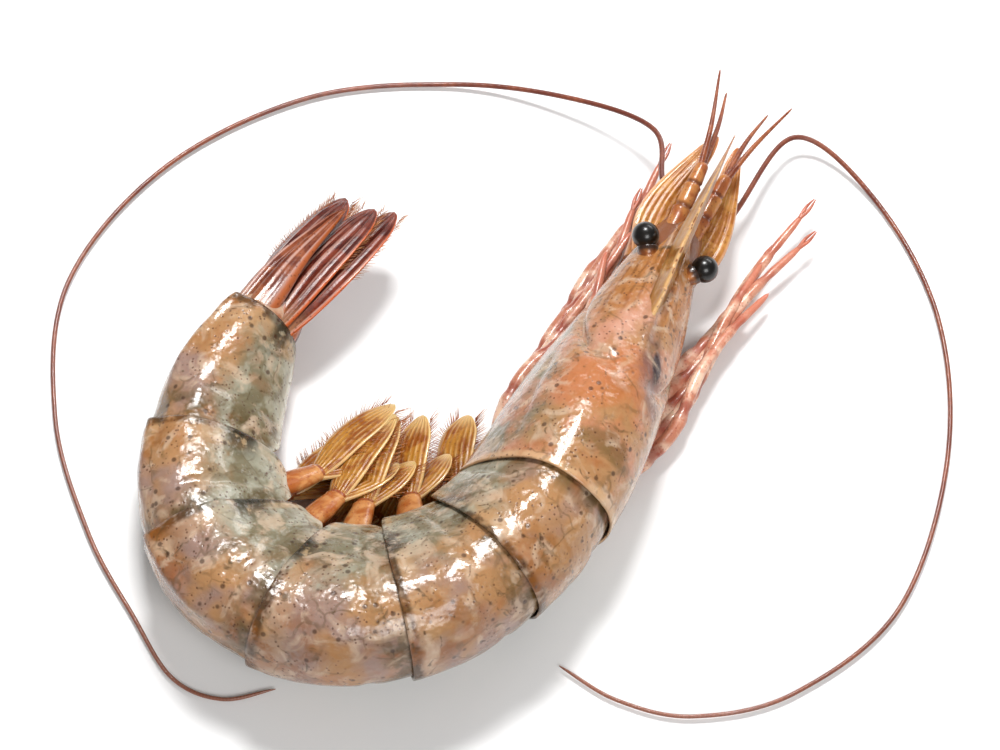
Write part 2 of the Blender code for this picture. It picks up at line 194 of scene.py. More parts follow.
def sheet(name, columns, rows, place, outside=None):
    """A skin laid over a grid. Its UV map "cover" runs once round in U and from front to rear in V."""
    bm = bmesh.new()
    bmesh.ops.create_grid(bm, x_segments=columns, y_segments=rows, size=1)
    cover = bm.loops.layers.uv.new("cover")
    for face in bm.faces:
        for loop in face.loops:
            loop[cover].uv = ((loop.vert.co.y + 1) / 2, (loop.vert.co.x + 1) / 2)
    for vertex in bm.verts:
        vertex.co = place((vertex.co.x + 1) / 2, (vertex.co.y + 1) / 2)
    bmesh.ops.remove_doubles(bm, verts=bm.verts, dist=1e-7)
    if outside is None:
        bmesh.ops.recalc_face_normals(bm, faces=bm.faces)
    else:
        bm.normal_update()
        bm.faces.ensure_lookup_table()
        if sum(face.normal.dot(outside(face.calc_center_median())) for face in bm.faces) < 0:
            bmesh.ops.reverse_faces(bm, faces=bm.faces)
    return as_object(name, bm)


def as_object(name, bm):
    mesh = bpy.data.meshes.new(name)
    bm.to_mesh(mesh)
    bm.free()
    mesh.shade_smooth()
    obj = bpy.data.objects.new(name, mesh)
    bpy.context.scene.collection.objects.link(obj)
    return obj


def fitted(obj, material, node="prawn"):
    """Gives a piece its material and puts it in place of its solid."""
    obj.data.materials.clear()
    obj.data.materials.append(material)
    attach(obj, "root")
    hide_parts(node)
    return obj


def rgb(red, green, blue):
    """A colour given as a screen shows it, 0 to 255, in the linear values that a shader takes."""
    def linear(value):
        value /= 255
        return value / 12.92 if value <= 0.04045 else ((value + 0.055) / 1.055) ** 2.4

    return (linear(red), linear(green), linear(blue), 1.0)


class Finish:
    """A material being mixed: wet, so it has a clear coat over a Principled surface."""

    def __init__(self, name, roughness=0.3, coat=0.3, coat_roughness=0.06, under=0.25, depth=0.0012):
        self.material = bpy.data.materials.new(name)
        self.material.use_nodes = True
        self.tree = self.material.node_tree
        self.shader = self.tree.nodes["Principled BSDF"]
        self.set("Roughness", roughness)
        self.set("IOR", 1.42)
        self.set("Coat Weight", coat)
        self.set("Coat IOR", 1.35)
        self.set("Coat Roughness", coat_roughness)
        self.set("Subsurface Weight", under)
        self.set("Subsurface Radius", (1.0, 0.45, 0.30))
        self.set("Subsurface Scale", depth)
        self.place = self.add("TexCoord").outputs["Object"]
        self.cover = self.add("UVMap", uv_map="cover").outputs["UV"]
        split = self.add("SeparateXYZ", {"Vector": self.cover})
        self.around, self.along = split.outputs["X"], split.outputs["Y"]
        self.colour = None

    def set(self, socket, value):
        if isinstance(value, bpy.types.NodeSocket):
            self.tree.links.new(value, self.shader.inputs[socket])
        else:
            self.shader.inputs[socket].default_value = value

    def add(self, kind, inputs=None, **settings):
        made = self.tree.nodes.new("ShaderNode" + kind)
        for setting, value in settings.items():
            setattr(made, setting, value)
        for socket, value in (inputs or {}).items():
            if isinstance(value, bpy.types.NodeSocket):
                self.tree.links.new(value, made.inputs[socket])
            else:
                made.inputs[socket].default_value = value
        return made

    def shifted(self, place, shift):
        """Patterns that start from different places don't repeat each other."""
        return self.add("VectorMath", {0: place, 1: shift}, operation="ADD").outputs[0]

    def cloud(self, size, detail=3.0, shift=0.0, twist=0.0):
        """Soft noise whose patches are about this many metres across."""
        inputs = {"Vector": self.shifted(self.place, (shift, shift * 0.7, -shift)), "Scale": 1 / size,
                  "Detail": detail, "Roughness": 0.55, "Distortion": twist}
        return self.add("TexNoise", inputs).outputs["Fac"]

    def patches(self, size, low, high, **settings):
        """Clouds with edges: 0 where the noise is at low, 1 where it is at high."""
        return self.step(self.cloud(size, **settings), low, high)

    def specks(self, size, radius, shift=0.0):
        """Round dots, one at most in each cell this many metres across, radius as a share of the cell."""
        place = self.shifted(self.place, (shift, -shift, shift))
        cells = self.add("TexVoronoi", {"Vector": place, "Scale": 1 / size, "Randomness": 1.0})
        return self.step(cells.outputs["Distance"], radius, radius * 0.45)

    def veins(self, size, width, shift=0.0):
        """A ragged net of thin lines round patches about this many metres across, broken here and there."""
        bent = self.add("TexNoise", {"Vector": self.place, "Scale": 1.3 / size, "Detail": 2.0})
        bent = bent.outputs["Color"]
        bent = self.add("VectorMath", {0: bent, 3: size * 0.9}, operation="SCALE").outputs[0]
        place = self.shifted(self.shifted(self.place, bent), (shift, shift, -shift))
        net = self.add("TexVoronoi", {"Vector": place, "Scale": 1 / size}, feature="DISTANCE_TO_EDGE")
        line = self.step(net.outputs["Distance"], width, width * 0.3)
        return self.times(line, self.patches(size * 0.8, 0.44, 0.60, shift=shift + 2.0))

    def reckon(self, kind, first, second=0.0):
        return self.add("Math", {0: first, 1: second}, operation=kind).outputs[0]

    def plus(self, first, second):
        return self.reckon("ADD", first, second)

    def minus(self, first, second):
        return self.reckon("SUBTRACT", first, second)

    def times(self, first, second):
        return self.reckon("MULTIPLY", first, second)

    def apart(self, first, second):
        """How far two values are from each other."""
        return self.reckon("ABSOLUTE", self.minus(first, second))

    def step(self, value, low, high):
        """0 at low and 1 at high, smooth in between."""
        inputs = {"Value": value, "From Min": low, "From Max": high}
        return self.add("MapRange", inputs, interpolation_type="SMOOTHSTEP").outputs["Result"]

    def mix(self, share, first, second):
        return self.add("Mix", {0: share, 6: first, 7: second}, data_type="RGBA").outputs[2]

    def lay(self, colour, where, strength=None):
        """Lays a colour over the one so far, where a pattern says and this strongly at most."""
        share = where if strength is None else self.times(where, strength)
        self.colour = self.mix(share, self.colour, rgb(*colour))

    def bump(self, height, distance, strength, over=None):
        inputs = {"Height": height, "Distance": distance, "Strength": strength}
        if over is not None:
            inputs["Normal"] = over
        return self.add("Bump", inputs).outputs["Normal"]

    def done(self, relief):
        """The material, with the colour that is laid and this relief."""
        self.set("Base Color", self.colour)
        self.set("Normal", relief)
        return self.material


def flesh_finish():
    wet = Finish("raw flesh", roughness=0.36, coat=0.4, under=0.4, depth=0.0018)
    wet.colour = wet.mix(wet.patches(0.006, 0.35, 0.65), rgb(199, 164, 138), rgb(170, 126, 96))
    wet.lay((145, 82, 51), wet.patches(0.0022, 0.52, 0.70, shift=3.1))
    wet.lay((167, 110, 69), wet.step(wet.along, 0.34, 0.02))
    # Painted shade: the very front of the flesh, round the mouth between the eyes, stalks and scales,
    # darkened to dark brown.
    wet.lay((112, 62, 34), wet.step(wet.along, 0.09, 0.06), 0.8)
    grain = wet.bump(wet.cloud(0.0006, detail=4), 0.00012, 0.6)
    return wet.done(wet.bump(wet.cloud(0.0030), 0.0004, 0.5, over=grain))


FLESH_SIZE, MOUTH_SIZE = 0.915, 0.985  # shares of the body's own section, under the shell and round the mouth
FLESH_FRONT, FLESH_REAR = -0.0093, 0.1165
CAP = 0.005  # share of the length that rounds off each end


def flesh_place(along, around):
    if along in (0, 1):
        return on_body(FLESH_FRONT if along == 0 else FLESH_REAR, 0, 0)
    at = FLESH_FRONT + (FLESH_REAR - FLESH_FRONT) * (along - CAP) / (1 - 2 * CAP)
    size = FLESH_SIZE + (MOUTH_SIZE - FLESH_SIZE) * (1 - ease(-0.006, 0.002, at))
    return on_skin(at, around, size, 1.0 - 0.10 * ease(0.030, 0.042, at) * ease(0.116, 0.105, at))


fitted(sheet("flesh", 260, 72, flesh_place), flesh_finish())

# The shell plates: thin, clear, wet shell in rings over the tail muscle, six of them, each tucked under
# the rear edge of the one in front. Their lower ends are rounded flaps that hang free over the
# swimmerets. Grey green at the flanks, tan along the back, with brown freckles and a dark hinge spot,
# painted shade where each plate runs under the one in front, and a painted sheen on the flanks.
SHELL_THICKNESS = 0.00028
FLAP_TOP = 0.44  # where a flap starts to round off, from 0 at the ridge of the back to 1 at the flap's end
FLAP_END = 0.425  # the flap's end as a share of a whole turn round the body, from the ridge of the back
TUCK = 0.0030  # how far a plate runs on under the one in front


def plate_section(down, half_width, back, belly):
    """A plate's section: like the body's over the back, but its flap runs on straight outside the belly."""
    angle = math.pi / 2 - 2 * math.pi * FLAP_END * down
    across, rise = math.cos(angle), math.sin(angle)
    if rise >= 0:
        return half_width * across**0.92, back * rise**0.92
    return half_width * across**0.40, -belly * abs(rise) ** 0.78


def shell_finish(name, pattern):
    """Wet shell. pattern lays what is special to one sort of plate over the common ground colours."""
    wet = Finish(name, roughness=0.26, coat=0.45, coat_roughness=0.05, under=0.10, depth=0.0007)
    down = wet.times(wet.apart(wet.around, 0.5), 2.0)
    ragged = wet.times(wet.minus(wet.cloud(0.0050, shift=1.3, twist=0.6), 0.5), 0.55)
    flank = wet.step(wet.plus(down, ragged), 0.26, 0.60)
    flap = wet.step(wet.plus(down, wet.times(ragged, 0.4)), 0.74, 0.92)
    wet.colour = wet.mix(flank, rgb(164, 121, 80), rgb(114, 106, 82))
    wet.lay((178, 174, 156), flap)
    pattern(wet, down, flank)
    pale = wet.patches(0.0034, 0.50, 0.68, shift=5.2, twist=0.8)
    wet.lay((200, 175, 150), pale, 0.55)
    rust = wet.patches(0.0062, 0.56, 0.74, shift=8.8, twist=0.5)
    rust = wet.times(rust, wet.times(wet.minus(1.0, down), 0.75))
    wet.lay((150, 82, 34), rust, 0.8)
    murk = wet.patches(0.0019, 0.60, 0.74, shift=2.4, twist=1.0)
    wet.lay((72, 55, 31), murk, 0.75)
    cracks = wet.veins(0.0048, 0.050, shift=3.3)
    wet.lay((75, 57, 26), cracks, 0.38)
    where = wet.patches(0.0045, 0.42, 0.58, shift=6.1)
    dots = wet.times(wet.specks(0.00062, 0.30, shift=1.7), where)
    wet.lay((73, 37, 20), dots, 0.75)
    spots = wet.specks(0.0021, 0.20, shift=4.9)
    wet.lay((50, 25, 13), spots, 0.70)
    rough = wet.plus(wet.times(wet.cloud(0.0016, shift=7.7), 0.22), 0.13)
    wet.set("Roughness", rough)
    fine = wet.bump(wet.cloud(0.00030, detail=3), 0.00004, 0.5)
    dents = wet.bump(wet.cloud(0.0021, detail=2, shift=9.4), 0.00045, 0.8, over=fine)
    return wet.done(wet.bump(wet.plus(dots, spots), -0.00003, 0.5, over=dents))


def plate_pattern(wet, down, flank):
    lilac = wet.times(wet.patches(0.0110, 0.46, 0.60, shift=21.0), wet.step(down, 0.55, 0.25))
    wet.lay((142, 117, 109), lilac, 0.85)
    hem = wet.times(wet.step(wet.along, 0.78, 0.86), wet.step(wet.along, 0.97, 0.93))
    wet.lay((184, 148, 108), hem, 0.40)
    # Painted shade: a dark band over the front of each plate, just behind the rear edge of the plate in
    # front, where it runs under it.
    under = wet.times(wet.step(wet.along, 0.44, 0.22), wet.patches(0.0030, 0.36, 0.56, shift=22.0))
    wet.lay((80, 64, 32), under, 0.80)
    # A dark band along each plate's rear edge: partly the shell's own dark margin, partly painted shade where
    # the edge lies over the next plate.
    edge = wet.times(wet.step(wet.along, 0.925, 0.965), wet.patches(0.0028, 0.30, 0.48, shift=23.0))
    wet.lay((66, 44, 20), edge, 0.90)
    # Painted sheen: pale grey patches on the flanks that stand in for the wet shine there.
    painted_sheen = wet.patches(0.0040, 0.46, 0.60, shift=11.0, twist=0.4)
    painted_sheen = wet.times(wet.times(painted_sheen, flank), 0.70)
    wet.lay((160, 158, 140), painted_sheen)
    ochre = wet.times(wet.step(wet.along, 0.50, 0.80), wet.step(down, 0.34, 0.05))
    ochre = wet.times(ochre, wet.patches(0.0035, 0.42, 0.58, shift=12.5))
    wet.lay((135, 78, 20), ochre, 0.70)
    height = wet.apart(down, 0.60)
    hinge = wet.times(wet.step(height, 0.12, 0.03), wet.step(wet.along, 0.66, 0.95))
    hinge = wet.times(hinge, wet.patches(0.0012, 0.34, 0.48, shift=13.0))
    wet.lay((34, 30, 16), hinge, 0.90)
    band = wet.times(wet.step(down, 0.84, 0.90), wet.step(down, 0.965, 0.93))
    wet.lay((198, 194, 178), band, 0.7)
    # A dark brown line along each flap's lower margin: the rim's own colour, darkened with painted shade
    # along the outline.
    brim = wet.step(down, 0.945, 0.985)
    wet.lay((120, 71, 35), brim, 0.85)


plate_finish = shell_finish("tail shell", plate_pattern)


def away_from_line(point):
    return point - nearest_on_line(point)


def nearest_on_line(point):
    return min((row[MIDDLE] for row in LINE[::12]), key=lambda middle: (middle - point).length_squared)


def add_wall(obj, thickness):
    wall = obj.modifiers.new("wall", "SOLIDIFY")
    wall.thickness = thickness
    wall.offset = -1
    wall.use_even_offset = True


def dent(point, size, depth):
    return noise.noise(point / size) * depth


def bulge(value, middle, width):
    """1 at the middle, falling smoothly to nothing over about twice the width to each side."""
    return math.exp(-(((value - middle) / width) ** 2))


def plate_place(number):
    start, end = STARTS[number], STARTS[number + 1]
    length = end - start
    front_corner, rear_corner = (0.50, 0.46) if number < 6 else (0.30, 0.16)

    def shell_point(at, down, hand, size):
        half_width, back, belly = line_at(at, SECTION)
        left, rise = plate_section(down, half_width * size, back * size, belly * size)
        point = on_body(at, left * hand, rise)
        point.z = max(point.z, FLOOR_GAP)
        return point

    def place(along, around):
        down, hand = abs(2 * around - 1), 1 if around < 0.5 else -1
        low = max(0.0, (down - FLAP_TOP) / (1 - FLAP_TOP))
        inset = 1 - math.sqrt(max(0.0, 1 - low**1.9))
        front = start - TUCK + (TUCK + length * front_corner) * inset
        rear = end + 0.0003 - length * rear_corner * inset
        at = front + (rear - front) * along
        share = min(1.0, max(0.0, (at - start) / length))
        size = 1 - 0.06 * (1 - share) ** 1.5 - 0.022 * ease(0, -TUCK, at - start)
        size += 0.014 * ease(0.80, 1.0, share) + 0.010 * low
        point = shell_point(at, down, hand, size)
        way = shell_point(at, down, hand, size + 0.02) - point
        ridge = 0.0007 * bulge(down, 0, 0.05) * ease(0.1, 0.5, share) if number >= 4 else 0.0
        crease = -0.00022 * bulge(share, 0.30, 0.05) * ease(0.15, 0.35, down) * ease(0.85, 0.60, down)
        crown = 0.00016 * bulge(share, 0.5, 0.30) * ease(1.0, 0.7, down)
        lift = ridge + crease + crown + dent(point, 0.0052, 0.00022) + dent(point, 0.0022, 0.00009)
        return point + way.normalized() * lift

    return place


for number in range(1, 7):
    plate = sheet(f"plate_{number}", 60, 170, plate_place(number), outside=away_from_line)
    add_wall(plate, SHELL_THICKNESS)
    fitted(plate, plate_finish)

# The carapace: one shield of shell over the head and chest, with a groove across its neck, pointed
# front corners and the sockets of the eyes cut into its front edge. The orange and dark organs show
# through it, and a pink patch at its front carries a painted highlight. It is fixed only along the back,
# and its lower edges lie on the legs' roots.
FRONT_EDGE = (  # place on the way down from the ridge of the back, place on the line
    (0.0, -0.0085), (0.07, -0.0062), (0.16, -0.0020), (0.25, 0.0010), (0.34, 0.0002),
    (0.42, -0.0030), (0.50, -0.0018), (0.62, 0.0004), (0.80, 0.0040), (1.0, 0.0110),
)
REAR_EDGE = ((0.0, 0.0348), (0.3, 0.0349), (0.6, 0.0362), (0.82, 0.0372), (1.0, 0.0325))
CARAPACE_LOW_LEFT, CARAPACE_LOW_RIGHT = -0.175, 0.675  # shares of a whole turn, from straight left


def carapace_pattern(wet, down, flank):
    def patch(around, along, wide, long, ragged, shift, softness=0.5):
        """A ragged blot round a place on the cover, this wide and long as shares of it."""
        across = wet.times(wet.minus(wet.around, around), 1 / wide)
        length = wet.times(wet.minus(wet.along, along), 1 / long)
        far = wet.plus(wet.times(across, across), wet.times(length, length))
        noisy = wet.times(wet.minus(wet.cloud(0.0032, shift=shift, twist=0.7), 0.5), ragged)
        return wet.step(wet.plus(wet.reckon("POWER", far, 0.5), noisy), 1.0, 1.0 - softness)

    tan = wet.step(wet.along, 0.52, 0.20)
    wet.lay((160, 102, 50), tan, 0.8)
    streaks = wet.add("TexWave", {"Vector": wet.cover, "Scale": 9.0, "Distortion": 3.0, "Detail Scale": 2.0},
                      wave_type="BANDS", bands_direction="X").outputs["Fac"]
    broken = wet.patches(0.0030, 0.40, 0.60, shift=24.0)
    streaks = wet.times(wet.step(streaks, 0.50, 1.00), broken)
    streaks = wet.times(streaks, wet.step(wet.along, 0.46, 0.30))
    wet.lay((112, 64, 28), streaks, 0.60)
    rosy = wet.patches(0.0052, 0.40, 0.62, shift=14.2)
    rosy = wet.times(rosy, wet.step(wet.along, 0.22, 0.42))
    wet.lay((184, 121, 91), rosy, 0.7)
    for organ_and_highlight, where, strength in (
        # A pink patch on the upper front: pink shell with a painted highlight laid into it.
        ((198, 146, 126), patch(0.42, 0.40, 0.14, 0.13, 1.4, 15.0, 0.8), 0.7),
        ((176, 104, 56), patch(0.43, 0.64, 0.20, 0.17, 1.3, 16.0, 0.8), 0.75),
        ((104, 72, 72), patch(0.57, 0.54, 0.10, 0.16, 1.3, 17.0, 0.8), 0.75),
        ((31, 22, 30), patch(0.57, 0.50, 0.028, 0.06, 0.9, 18.0), 0.9),
        ((85, 67, 30), patch(0.50, 0.86, 0.12, 0.05, 1.2, 19.0), 0.6),
    ):
        wet.lay(organ_and_highlight, where, strength)
    rim = wet.step(wet.along, 0.962, 0.985)
    wet.lay((199, 162, 122), rim, 0.7)
    low = wet.step(down, 0.84, 0.97)
    wet.lay((208, 156, 131), low, 0.6)


def carapace_place(along, around):
    down = abs(2 * around - 1)
    front, rear = between(FRONT_EDGE, down), between(REAR_EDGE, down)
    at = front + (rear - front) * along
    angle = CARAPACE_LOW_LEFT + (CARAPACE_LOW_RIGHT - CARAPACE_LOW_LEFT) * around
    size = 1.0 + 0.010 * ease(0.92, 1.0, along)
    point = on_skin(at, angle, size)
    way = (on_skin(at, angle, size + 0.02) - point).normalized()
    neck = 0.0145 + 0.0045 * (1 - down) - 0.010 * ease(0.25, 0.75, down)
    groove = -0.00075 * bulge(at, neck, 0.0012) * ease(0.98, 0.75, down) * ease(0.02, 0.20, down)
    gill = -0.00030 * bulge(down, 0.52, 0.035) * ease(0.016, 0.022, at) * ease(0.034, 0.028, at)
    keel = 0.0008 * bulge(down, 0, 0.035) * ease(0.022, 0.006, at)
    side_ridge = 0.00035 * bulge(down, 0.10, 0.03) * ease(0.014, 0.002, at)
    return point + way * (groove + gill + keel + side_ridge + dent(point, 0.005, 0.00012))


carapace = sheet("carapace", 150, 190, carapace_place, outside=away_from_line)
add_wall(carapace, SHELL_THICKNESS)
fitted(carapace, shell_finish("carapace shell", carapace_pattern))

# The rostrum: the hard, thin spike that grows out of the carapace over the eyes, edge up, with teeth
# like a saw above and a few below. Tan, with a pale ridge that carries a painted highlight, and brown tips to
# its teeth.
ROSTRUM_TIP, ROSTRUM_ROOT = -0.0180, 0.0120
BLADE = (  # place on the line, middle of the blade over the line, half of its height
    (ROSTRUM_TIP, 0.0072, 0.0003),
    (-0.008, 0.0062, 0.0010),
    (0.0, 0.0062, 0.0017),
    (0.006, 0.0068, 0.0018),
    (ROSTRUM_ROOT, 0.0066, 0.0012),
)


def tooth(at, first, spacing, count, length):
    """How far a saw tooth stands out here: steep at its front, sloping away behind it."""
    for n in range(count):
        behind = (at - (first + spacing * n)) / length
        if 0 <= behind < 1:
            return (1 - behind) ** 1.3 * ease(0, 0.12, behind)
    return 0.0


def rostrum_place(along, around):
    at = ROSTRUM_TIP + (ROSTRUM_ROOT - ROSTRUM_TIP) * along
    middle, half = between(BLADE, at)
    if along in (0, 1):
        return on_body(at, 0, middle)
    across, rise = math.cos(2 * math.pi * around), math.sin(2 * math.pi * around)
    thick = 0.00010 + 0.00070 * ease(ROSTRUM_TIP - 0.001, 0.002, at)
    side = thick * math.copysign(abs(across) ** 0.8, across) * (1 - 0.35 * abs(rise))
    height = half * math.copysign(abs(rise) ** 1.2, rise)
    if rise > 0:
        height += 0.0012 * tooth(at, -0.0125, 0.0031, 7, 0.0029) * rise**6
    else:
        height -= 0.0009 * tooth(at, -0.0150, 0.0029, 3, 0.0026) * rise**6
    rib = 0.00025 * bulge(rise, 0, 0.22) * ease(ROSTRUM_TIP, ROSTRUM_TIP + 0.012, at)
    return on_body(at, side + math.copysign(rib, across), middle + height)


def rostrum_finish():
    wet = Finish("rostrum shell", roughness=0.28, coat=0.6, under=0.3)
    wet.colour = wet.mix(wet.patches(0.0030, 0.35, 0.65), rgb(170, 121, 61), rgb(143, 93, 42))
    above = wet.apart(wet.around, 0.25)
    # A pale top edge: pale shell along the ridge, with a painted highlight along it.
    wet.lay((205, 164, 111), wet.step(above, 0.10, 0.02))
    teeth = wet.times(wet.step(above, 0.05, 0.0), wet.patches(0.0011, 0.5, 0.6, shift=2.0))
    wet.lay((116, 61, 30), teeth)
    wet.lay((145, 84, 55), wet.step(wet.along, 0.25, 0.0), 0.7)
    return wet.done(wet.bump(wet.cloud(0.0005), 0.00006, 0.6))


fitted(sheet("rostrum", 260, 24, rostrum_place), rostrum_finish())

# The eyes: shiny black balls with tiny facets, each on a short jointed stalk that stands out of its
# socket beside the rostrum. The stalk is amber shell with a dark band under the ball.
EYE_RADIUS = 0.0017
STALK_RADII = (0.0010, 0.0014)
LIMB_FLOOR = 0.0003  # the least that stays free between a limb and the floor


def smooth_path(points, count):
    table = [(n, *point) for n, point in enumerate(points)]
    return [Vector(between(table, (len(points) - 1) * n / (count - 1))) for n in range(count)]


def limb_maker(points, widths, thicknesses, count, flat=None, swell=None, tip=0.06):
    """Where each point of a tapering limb's skin lies: along 0 to 1 from root to tip, around 0 to 1.

    widths and thicknesses are half sizes, evenly spaced from root to tip. Its end is rounded off over
    the share of its length that tip gives.
    """
    path = smooth_path(points, count)
    wide = [(n, value) for n, value in enumerate(widths)]
    thick = [(n, value) for n, value in enumerate(thicknesses)]

    def place(along, around):
        far = along * (count + 1)
        n = min(max(round(far) - 1, 0), count - 1)
        way = (path[min(n + 1, count - 1)] - path[max(n - 1, 0)]).normalized()
        side = way.cross(flat or UP).normalized()
        face = side.cross(way)
        share = n / (count - 1)
        width = between(wide, share * (len(widths) - 1))
        thickness = between(thick, share * (len(thicknesses) - 1))
        size = swell(share) if swell else 1.0
        size *= math.sqrt(max(0.0004, 1 - max(0.0, (share - 1 + tip) / tip) ** 2))
        width, thickness = width * size, thickness * size
        sag = LIMB_FLOOR + math.hypot(width * side.z, thickness * face.z) - path[n].z
        middle = path[n] + UP * max(sag, 0)
        if round(far) in (0, count + 1):
            return middle
        angle = 2 * math.pi * around
        return middle + side * width * math.cos(angle) + face * thickness * math.sin(angle)

    return place


def limb(name, points, widths, thicknesses, count, flat=None, swell=None, sides=14, tip=0.06):
    return sheet(name, count + 1, sides, limb_maker(points, widths, thicknesses, count, flat, swell, tip))


def ball(middle):
    def place(along, around):
        tilt, turn = math.pi * along, 2 * math.pi * around
        way = Vector((math.sin(tilt) * math.cos(turn), math.sin(tilt) * math.sin(turn), math.cos(tilt)))
        return middle + way * EYE_RADIUS

    return place


def eye_finish():
    wet = Finish("eye", roughness=0.30, coat=0.35, coat_roughness=0.05, under=0.0)
    wet.colour = wet.mix(wet.patches(0.0012, 0.4, 0.7), rgb(8, 7, 6), rgb(20, 15, 12))
    facets = wet.add("TexVoronoi", {"Vector": wet.place, "Scale": 1 / 0.00009}).outputs["Distance"]
    return wet.done(wet.bump(facets, -0.00001, 0.3))


def stalk_finish():
    wet = Finish("eye stalk", roughness=0.3, coat=0.6)
    wet.colour = wet.mix(wet.patches(0.0010, 0.4, 0.6), rgb(174, 109, 51), rgb(128, 69, 30))
    wet.lay((47, 28, 19), wet.step(wet.along, 0.62, 0.82))
    return wet.done(wet.bump(wet.cloud(0.0004), 0.00005, 0.5))


def nipped(share):
    return 1 - 0.22 * bulge(share, 0.55, 0.12)


ball_finish, eye_stalk_finish = eye_finish(), stalk_finish()
for side, word in ((1, "left"), (-1, "right")):
    eye = ball(on_body(-0.0012, side * 0.0042, 0.0040))
    fitted(sheet(f"eye_ball_{word}", 24, 40, eye), ball_finish)
    stalk = [on_body(0.003, side * 0.0016, 0.0032), on_body(-0.0004, side * 0.0034, 0.0036)]
    obj = limb(f"eye_stalk_{word}", stalk, STALK_RADII, STALK_RADII, swell=nipped, count=20)
    fitted(obj, eye_stalk_finish)

# The front limbs: a leaf-shaped scale and two sorts of jointed feeler stalks on each side of the
# rostrum, the short whips in pairs on the upper stalk, and the jaw feet under the mouth. Thin shell over
# flesh, orange brown, the joints darker.
WHIP_RADII = (0.00044, 0.00032, 0.00014)


def jointed(*joints):
    """Swells a limb between its joints and nips it in at each."""
    def swell(share):
        nip = sum(bulge(share, joint, 0.018) for joint in joints)
        knuckle = sum(bulge(share, joint - 0.035, 0.022) for joint in joints)
        return 1 - 0.18 * nip + 0.10 * knuckle

    return swell


def leaf_ridges(wet, number):
    """A leaf's width, from -1 at one edge to 1 at the other, and a wave of ridges along it."""
    across = wet.reckon("COSINE", wet.times(wet.around, 2 * math.pi))
    return across, wet.reckon("SINE", wet.times(across, number))


def limb_finish(name, first, second, joint_colour, joints, tip=None, rim=None):
    """A limb's wet shell: two colours that run into each other, with darker rings at its joints.

    A leaf has a rim colour too, and with it fine ridges along its length.
    """
    wet = Finish(name, roughness=0.28, coat=0.4, under=0.25, depth=0.0008)
    wet.colour = wet.mix(wet.patches(0.0022, 0.38, 0.62, twist=0.5), rgb(*first), rgb(*second))
    rings = None
    for joint in joints:
        ring = wet.step(wet.apart(wet.along, joint), 0.045, 0.008)
        rings = ring if rings is None else wet.reckon("MAXIMUM", rings, ring)
    if rings is not None:
        wet.lay(joint_colour, rings, 0.75)
    freckles = wet.specks(0.00055, 0.30, shift=2.2)
    wet.lay(joint_colour, freckles, 0.5)
    if tip:
        wet.lay(tip, wet.step(wet.along, 0.70, 1.0))
    fine = wet.bump(wet.cloud(0.00025), 0.00003, 0.6)
    if rim:
        across, ridges = leaf_ridges(wet, 22.0)
        lines = wet.times(wet.step(ridges, 0.2, 0.9), wet.patches(0.0016, 0.40, 0.60, shift=5.0))
        wet.lay(rim, lines, 0.45)
        edge = wet.step(wet.apart(across, 0.0), 0.80, 0.97)
        wet.lay(rim, edge, 0.80)
        fine = wet.bump(ridges, 0.00005, 0.6, over=fine)
    return wet.done(wet.bump(wet.cloud(0.0012, shift=3.0), 0.00012, 0.6, over=fine))


def ringed(share):
    return 1 + 0.06 * math.sin(share * 190)


def at_head(side, *knots):
    return [on_body(at, side * left, back) for at, left, back in knots]


scale_finish = limb_finish("antennal scale", (188, 132, 66), (156, 94, 36), (101, 46, 22), (),
                           tip=(184, 110, 58), rim=(222, 172, 134))
stalk_joints = (0.38, 0.66)
front_finish = limb_finish("feeler stalks", (186, 124, 68), (158, 88, 46), (92, 38, 20), stalk_joints)
whip_finish = limb_finish("short whips", (151, 84, 46), (120, 57, 31), (82, 34, 20), ())
jaw_joints = (0.30, 0.55, 0.80)
jaw_finish = limb_finish("jaw feet", (194, 126, 88), (162, 84, 48), (116, 38, 26), jaw_joints)
to_back = line_at(0, TO_BACK)


def scale_ribs(points):
    """The scale's skin: a leaf with a thick rib along one edge and a thin one down its middle."""
    leaf = limb_maker(points, (0.0015, 0.0026, 0.0024, 0.0016, 0.0006), (0.0005, 0.0005, 0.0004, 0.0002),
                      flat=to_back, count=70, tip=0.12)

    def place(along, around):
        across, rise = math.cos(2 * math.pi * around), math.sin(2 * math.pi * around)
        rib = 0.00030 * bulge(across, 0.8, 0.16) + 0.00014 * bulge(across, 0, 0.10)
        lift = math.copysign(rib, rise) * ease(0, 0.1, along) * ease(1, 0.8, along)
        return leaf(along, around) + to_back * lift

    return place


